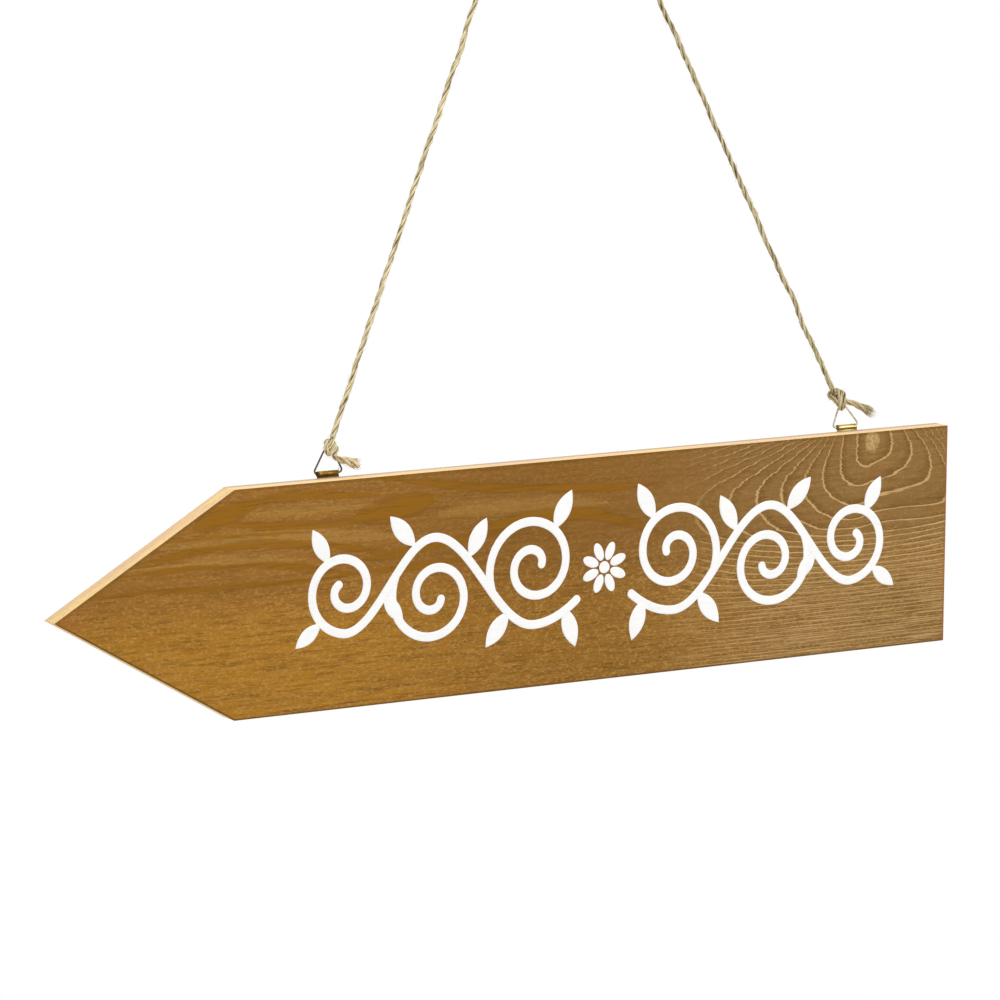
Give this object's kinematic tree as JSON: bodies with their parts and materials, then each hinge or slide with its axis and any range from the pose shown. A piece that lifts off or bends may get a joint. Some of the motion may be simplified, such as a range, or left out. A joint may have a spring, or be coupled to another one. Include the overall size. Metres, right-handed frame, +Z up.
{
  "type": "hanging direction sign",
  "caption": "Pointed wooden arrow board on wire rings and a jute twine loop, with a white painted scroll; it hangs, swings sideways and tips on its rings.",
  "frame": {"origin": "on the axis of the wall peg, in the plane that the twine hangs in", "axes": "+X along the board away from its point, +Y from the painted face to the back and the wall, +Z up"},
  "size_m": [0.575, 0.0361, 0.4975],
  "materials": {
    "stained_wood": "brown stain over softwood grain, satin",
    "white_paint": "white paint, brushed on",
    "brass_strap": "brass-plated sheet, slightly tarnished",
    "brass_screw": "brass-plated steel",
    "ring_wire": "dull brass-plated wire",
    "jute": "natural jute, twisted, hairy",
    "peg_brass": "turned brass, satin"
  },
  "bodies": {
    "peg": {"wall_peg": "peg_brass"},
    "twine": {"hanging_twine": "jute", "knot_left": "jute", "knot_right": "jute", "twine_tail_left": "jute", "twine_tail_right": "jute", "triangle_ring_left": "ring_wire", "triangle_ring_right": "ring_wire"},
    "board": {"arrow_board": "stained_wood", "painted_scroll_left": "white_paint", "painted_scroll_right": "white_paint", "painted_blossom": "white_paint", "hanger_strap_left": "brass_strap", "hanger_strap_right": "brass_strap", "strap_screw_left_1": "brass_screw", "strap_screw_left_2": "brass_screw", "strap_screw_right_1": "brass_screw", "strap_screw_right_2": "brass_screw"}
  },
  "joints": [
    {"name": "side_swing", "type": "hinge", "parent": "peg", "child": "twine", "pos_m": [0, 0, 0], "axis": [0, 1, 0], "range_deg": [-30, 30]},
    {"name": "board_tip", "type": "hinge", "parent": "twine", "child": "board", "pos_m": [0.03, 0, -0.363], "axis": [1, 0, 0], "range_deg": [-55, 150]}
  ]
}
